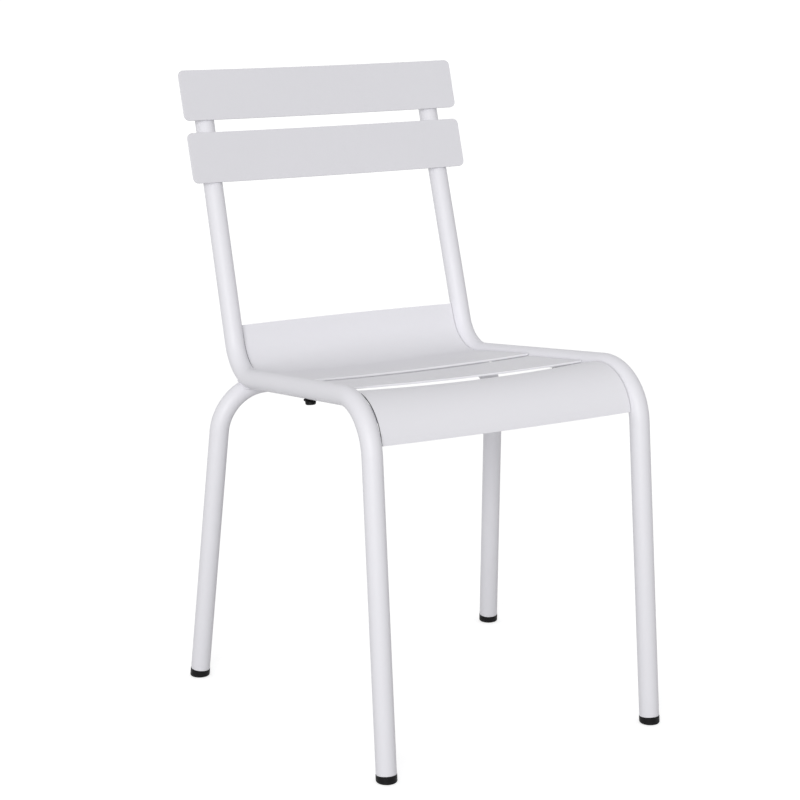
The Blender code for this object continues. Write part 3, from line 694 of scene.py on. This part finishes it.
def stacking_pads(surface):
    """The pads under the rails: a round body with a soft tip, and a thin tail that ends in a pip."""
    spot, ahead = place_on(SIDE_LINE, FRONT_BEND_START - PAD_BEFORE_FRONT_BEND)
    along = Matrix.Translation(spot) @ ahead.to_track_quat("-Y", "Z").to_matrix().to_4x4()
    below = TUBE_RADIUS + FIT
    depth = PAD_DROP + TUBE_WALL
    pip = PAD_PIP_DIAMETER / 2
    for side, word in SIDES:
        builder = bmesh.new()
        bmesh.ops.create_cone(
            builder,
            cap_ends=True,
            segments=TUBE_SIDES // 2,
            radius1=PAD_TIP_DIAMETER / 2,
            radius2=PAD_DIAMETER / 2,
            depth=depth,
            matrix=Matrix.Translation((0, 0, -below - PAD_DROP + depth / 2)),
        )
        round_off(builder, edges_below(builder, FIT - below - PAD_DROP), PAD_TIP_ROUND, FITTING_ROUND_STEPS)
        bmesh.ops.create_cone(
            builder,
            cap_ends=True,
            segments=TUBE_SIDES // 4,
            radius1=PAD_TAIL_DIAMETER / 2,
            radius2=PAD_TAIL_DIAMETER / 2,
            depth=PAD_TAIL_REACH,
            matrix=Matrix.Translation((0, PAD_TAIL_REACH / 2, -below - pip)) @ Matrix.Rotation(-math.pi / 2, 4, "X"),
        )
        bmesh.ops.create_uvsphere(
            builder,
            u_segments=TUBE_SIDES // 4,
            v_segments=DOME_STEPS,
            radius=pip,
            matrix=Matrix.Translation((0, PAD_TAIL_REACH, -below - pip)),
        )
        bmesh.ops.transform(builder, matrix=side_place(side) @ along, verts=builder.verts)
        weigh_normals(new_piece("pad_" + word, builder, surface, "plastic_black", "stacking_pad_" + word))


# The studio


def stand_round(made, middle, azimuth, elevation, distance, roll=0.0):
    """Stands a camera or lamp round a point and turns it to look there. Azimuth 0 is straight in front."""
    level = math.cos(elevation)
    back = Vector((math.sin(azimuth) * level, -math.cos(azimuth) * level, math.sin(elevation)))
    made.location = middle + back * distance
    made.rotation_mode = "QUATERNION"
    made.rotation_quaternion = (-back).to_track_quat("-Z", "Y") @ Quaternion((0, 0, 1), roll)


def softbox():
    """The one lamp: a large square, in front of the chair and to its left."""
    data = bpy.data.lights.new("front softbox", "AREA")
    data.shape = "SQUARE"
    data.size = SOFTBOX_WIDTH
    data.energy = SOFTBOX_POWER
    light = in_scene("front softbox", data)
    stand_round(light, CHAIR_MIDDLE, SOFTBOX_AZIMUTH, SOFTBOX_ELEVATION, SOFTBOX_DISTANCE)


def seen_directly(tree):
    """A socket that is 1 for camera, glossy and transmission rays."""
    path = add_node(tree, "ShaderNodeLightPath")
    first = add_node(tree, "ShaderNodeMath", operation="MAXIMUM")
    tree.links.new(path.outputs["Is Camera Ray"], first.inputs[0])
    tree.links.new(path.outputs["Is Glossy Ray"], first.inputs[1])
    both = add_node(tree, "ShaderNodeMath", operation="MAXIMUM")
    tree.links.new(first.outputs["Value"], both.inputs[0])
    tree.links.new(path.outputs["Is Transmission Ray"], both.inputs[1])
    return both.outputs["Value"]


def white_room():
    """A white world that lights the chair at a low, even level."""
    world = bpy.data.worlds.new("white room")
    world.use_nodes = True
    bpy.context.scene.world = world
    tree = world.node_tree
    background = tree.nodes["Background"]
    background.inputs["Color"].default_value = (*WHITE, 1.0)
    tree.links.new(mixed(tree, seen_directly(tree), ROOM_LIGHT, BACKGROUND_WHITE), background.inputs["Strength"])


def white_floor():
    """A pale floor that glows to the background's white when seen, and still takes the chair's shadow."""
    made, tree, shader = new_material("white floor")
    shader.inputs["Base Color"].default_value = (*FLOOR_TONE, 1.0)
    shader.inputs["Roughness"].default_value = FLOOR_ROUGHNESS
    shader.inputs["Specular IOR Level"].default_value = 0.0
    shader.inputs["Emission Color"].default_value = (*WHITE, 1.0)
    place = add_node(tree, "ShaderNodeTexCoord")
    away = add_node(tree, "ShaderNodeVectorMath", operation="LENGTH")
    tree.links.new(place.outputs["Object"], away.inputs[0])
    glow = add_node(
        tree,
        "ShaderNodeMapRange",
        From_Min=NEAR_FLOOR,
        From_Max=FAR_FLOOR,
        To_Min=FLOOR_GLOW,
        To_Max=FAR_FLOOR_GLOW,
    )
    tree.links.new(away.outputs["Value"], glow.inputs["Value"])
    seen = add_node(tree, "ShaderNodeMath", operation="MULTIPLY")
    tree.links.new(seen_directly(tree), seen.inputs[0])
    tree.links.new(glow.outputs["Result"], seen.inputs[1])
    tree.links.new(seen.outputs["Value"], shader.inputs["Emission Strength"])
    builder = bmesh.new()
    bmesh.ops.create_grid(builder, x_segments=1, y_segments=1, size=FLOOR_HALF_SIZE)
    mesh = finished_mesh("floor", builder)
    mesh.materials.append(made)
    floor = in_scene("floor", mesh)


def camera():
    """The photograph's view."""
    data = bpy.data.cameras.new("camera")
    data.sensor_width = CAMERA_SENSOR
    data.lens = CAMERA_LENS
    data.clip_end = CAMERA_REACH
    made = in_scene("camera", data)
    stand_round(made, CAMERA_AIM, CAMERA_AZIMUTH, CAMERA_ELEVATION, CAMERA_DISTANCE, CAMERA_ROLL)
    bpy.context.scene.camera = made


def dress_chair():
    texture = coat_texture()
    coat = coat_material("powder coat on tube", texture, TUBE_COAT)
    # Copies of the one coat for the seat and back sheets, painted lighter and darker: painted light and painted
    # shade
    seat_lit_coat = coat_material("powder coat on seat sheet, painted lighter", texture, SEAT_COAT_PAINTED_LIGHTER)
    back_shaded_coat = coat_material("powder coat on back sheet, painted shade", texture, BACK_COAT_PAINTED_DARKER)
    # Painted highlight on the seat slats' long sheared edges
    edge_highlight_coat = coat_material("powder coat with painted highlight on sheared edge", texture, LONG_EDGE_PAINTED_HIGHLIGHT)
    # Painted shade on the seat slats' ends, in the slit beside each tube
    end_shade_coat = coat_material("painted shade on slat end", texture, SLAT_END_PAINTED_SHADE)
    seam_coat = coat_material("powder coat on weld", texture, WELD_COAT)
    plastic = plastic_material("black moulded plastic")
    side_tubes(coat)
    rear_tube(coat)
    seat_slats(seat_lit_coat, edge_highlight_coat, end_shade_coat)
    back_slats(back_shaded_coat)
    weld_seams(seam_coat)
    foot_caps(plastic)
    upright_plugs(plastic)
    stacking_pads(plastic)


dress_chair()
white_room()
white_floor()
softbox()
camera()
bpy.context.scene.view_settings.view_transform = "Standard"
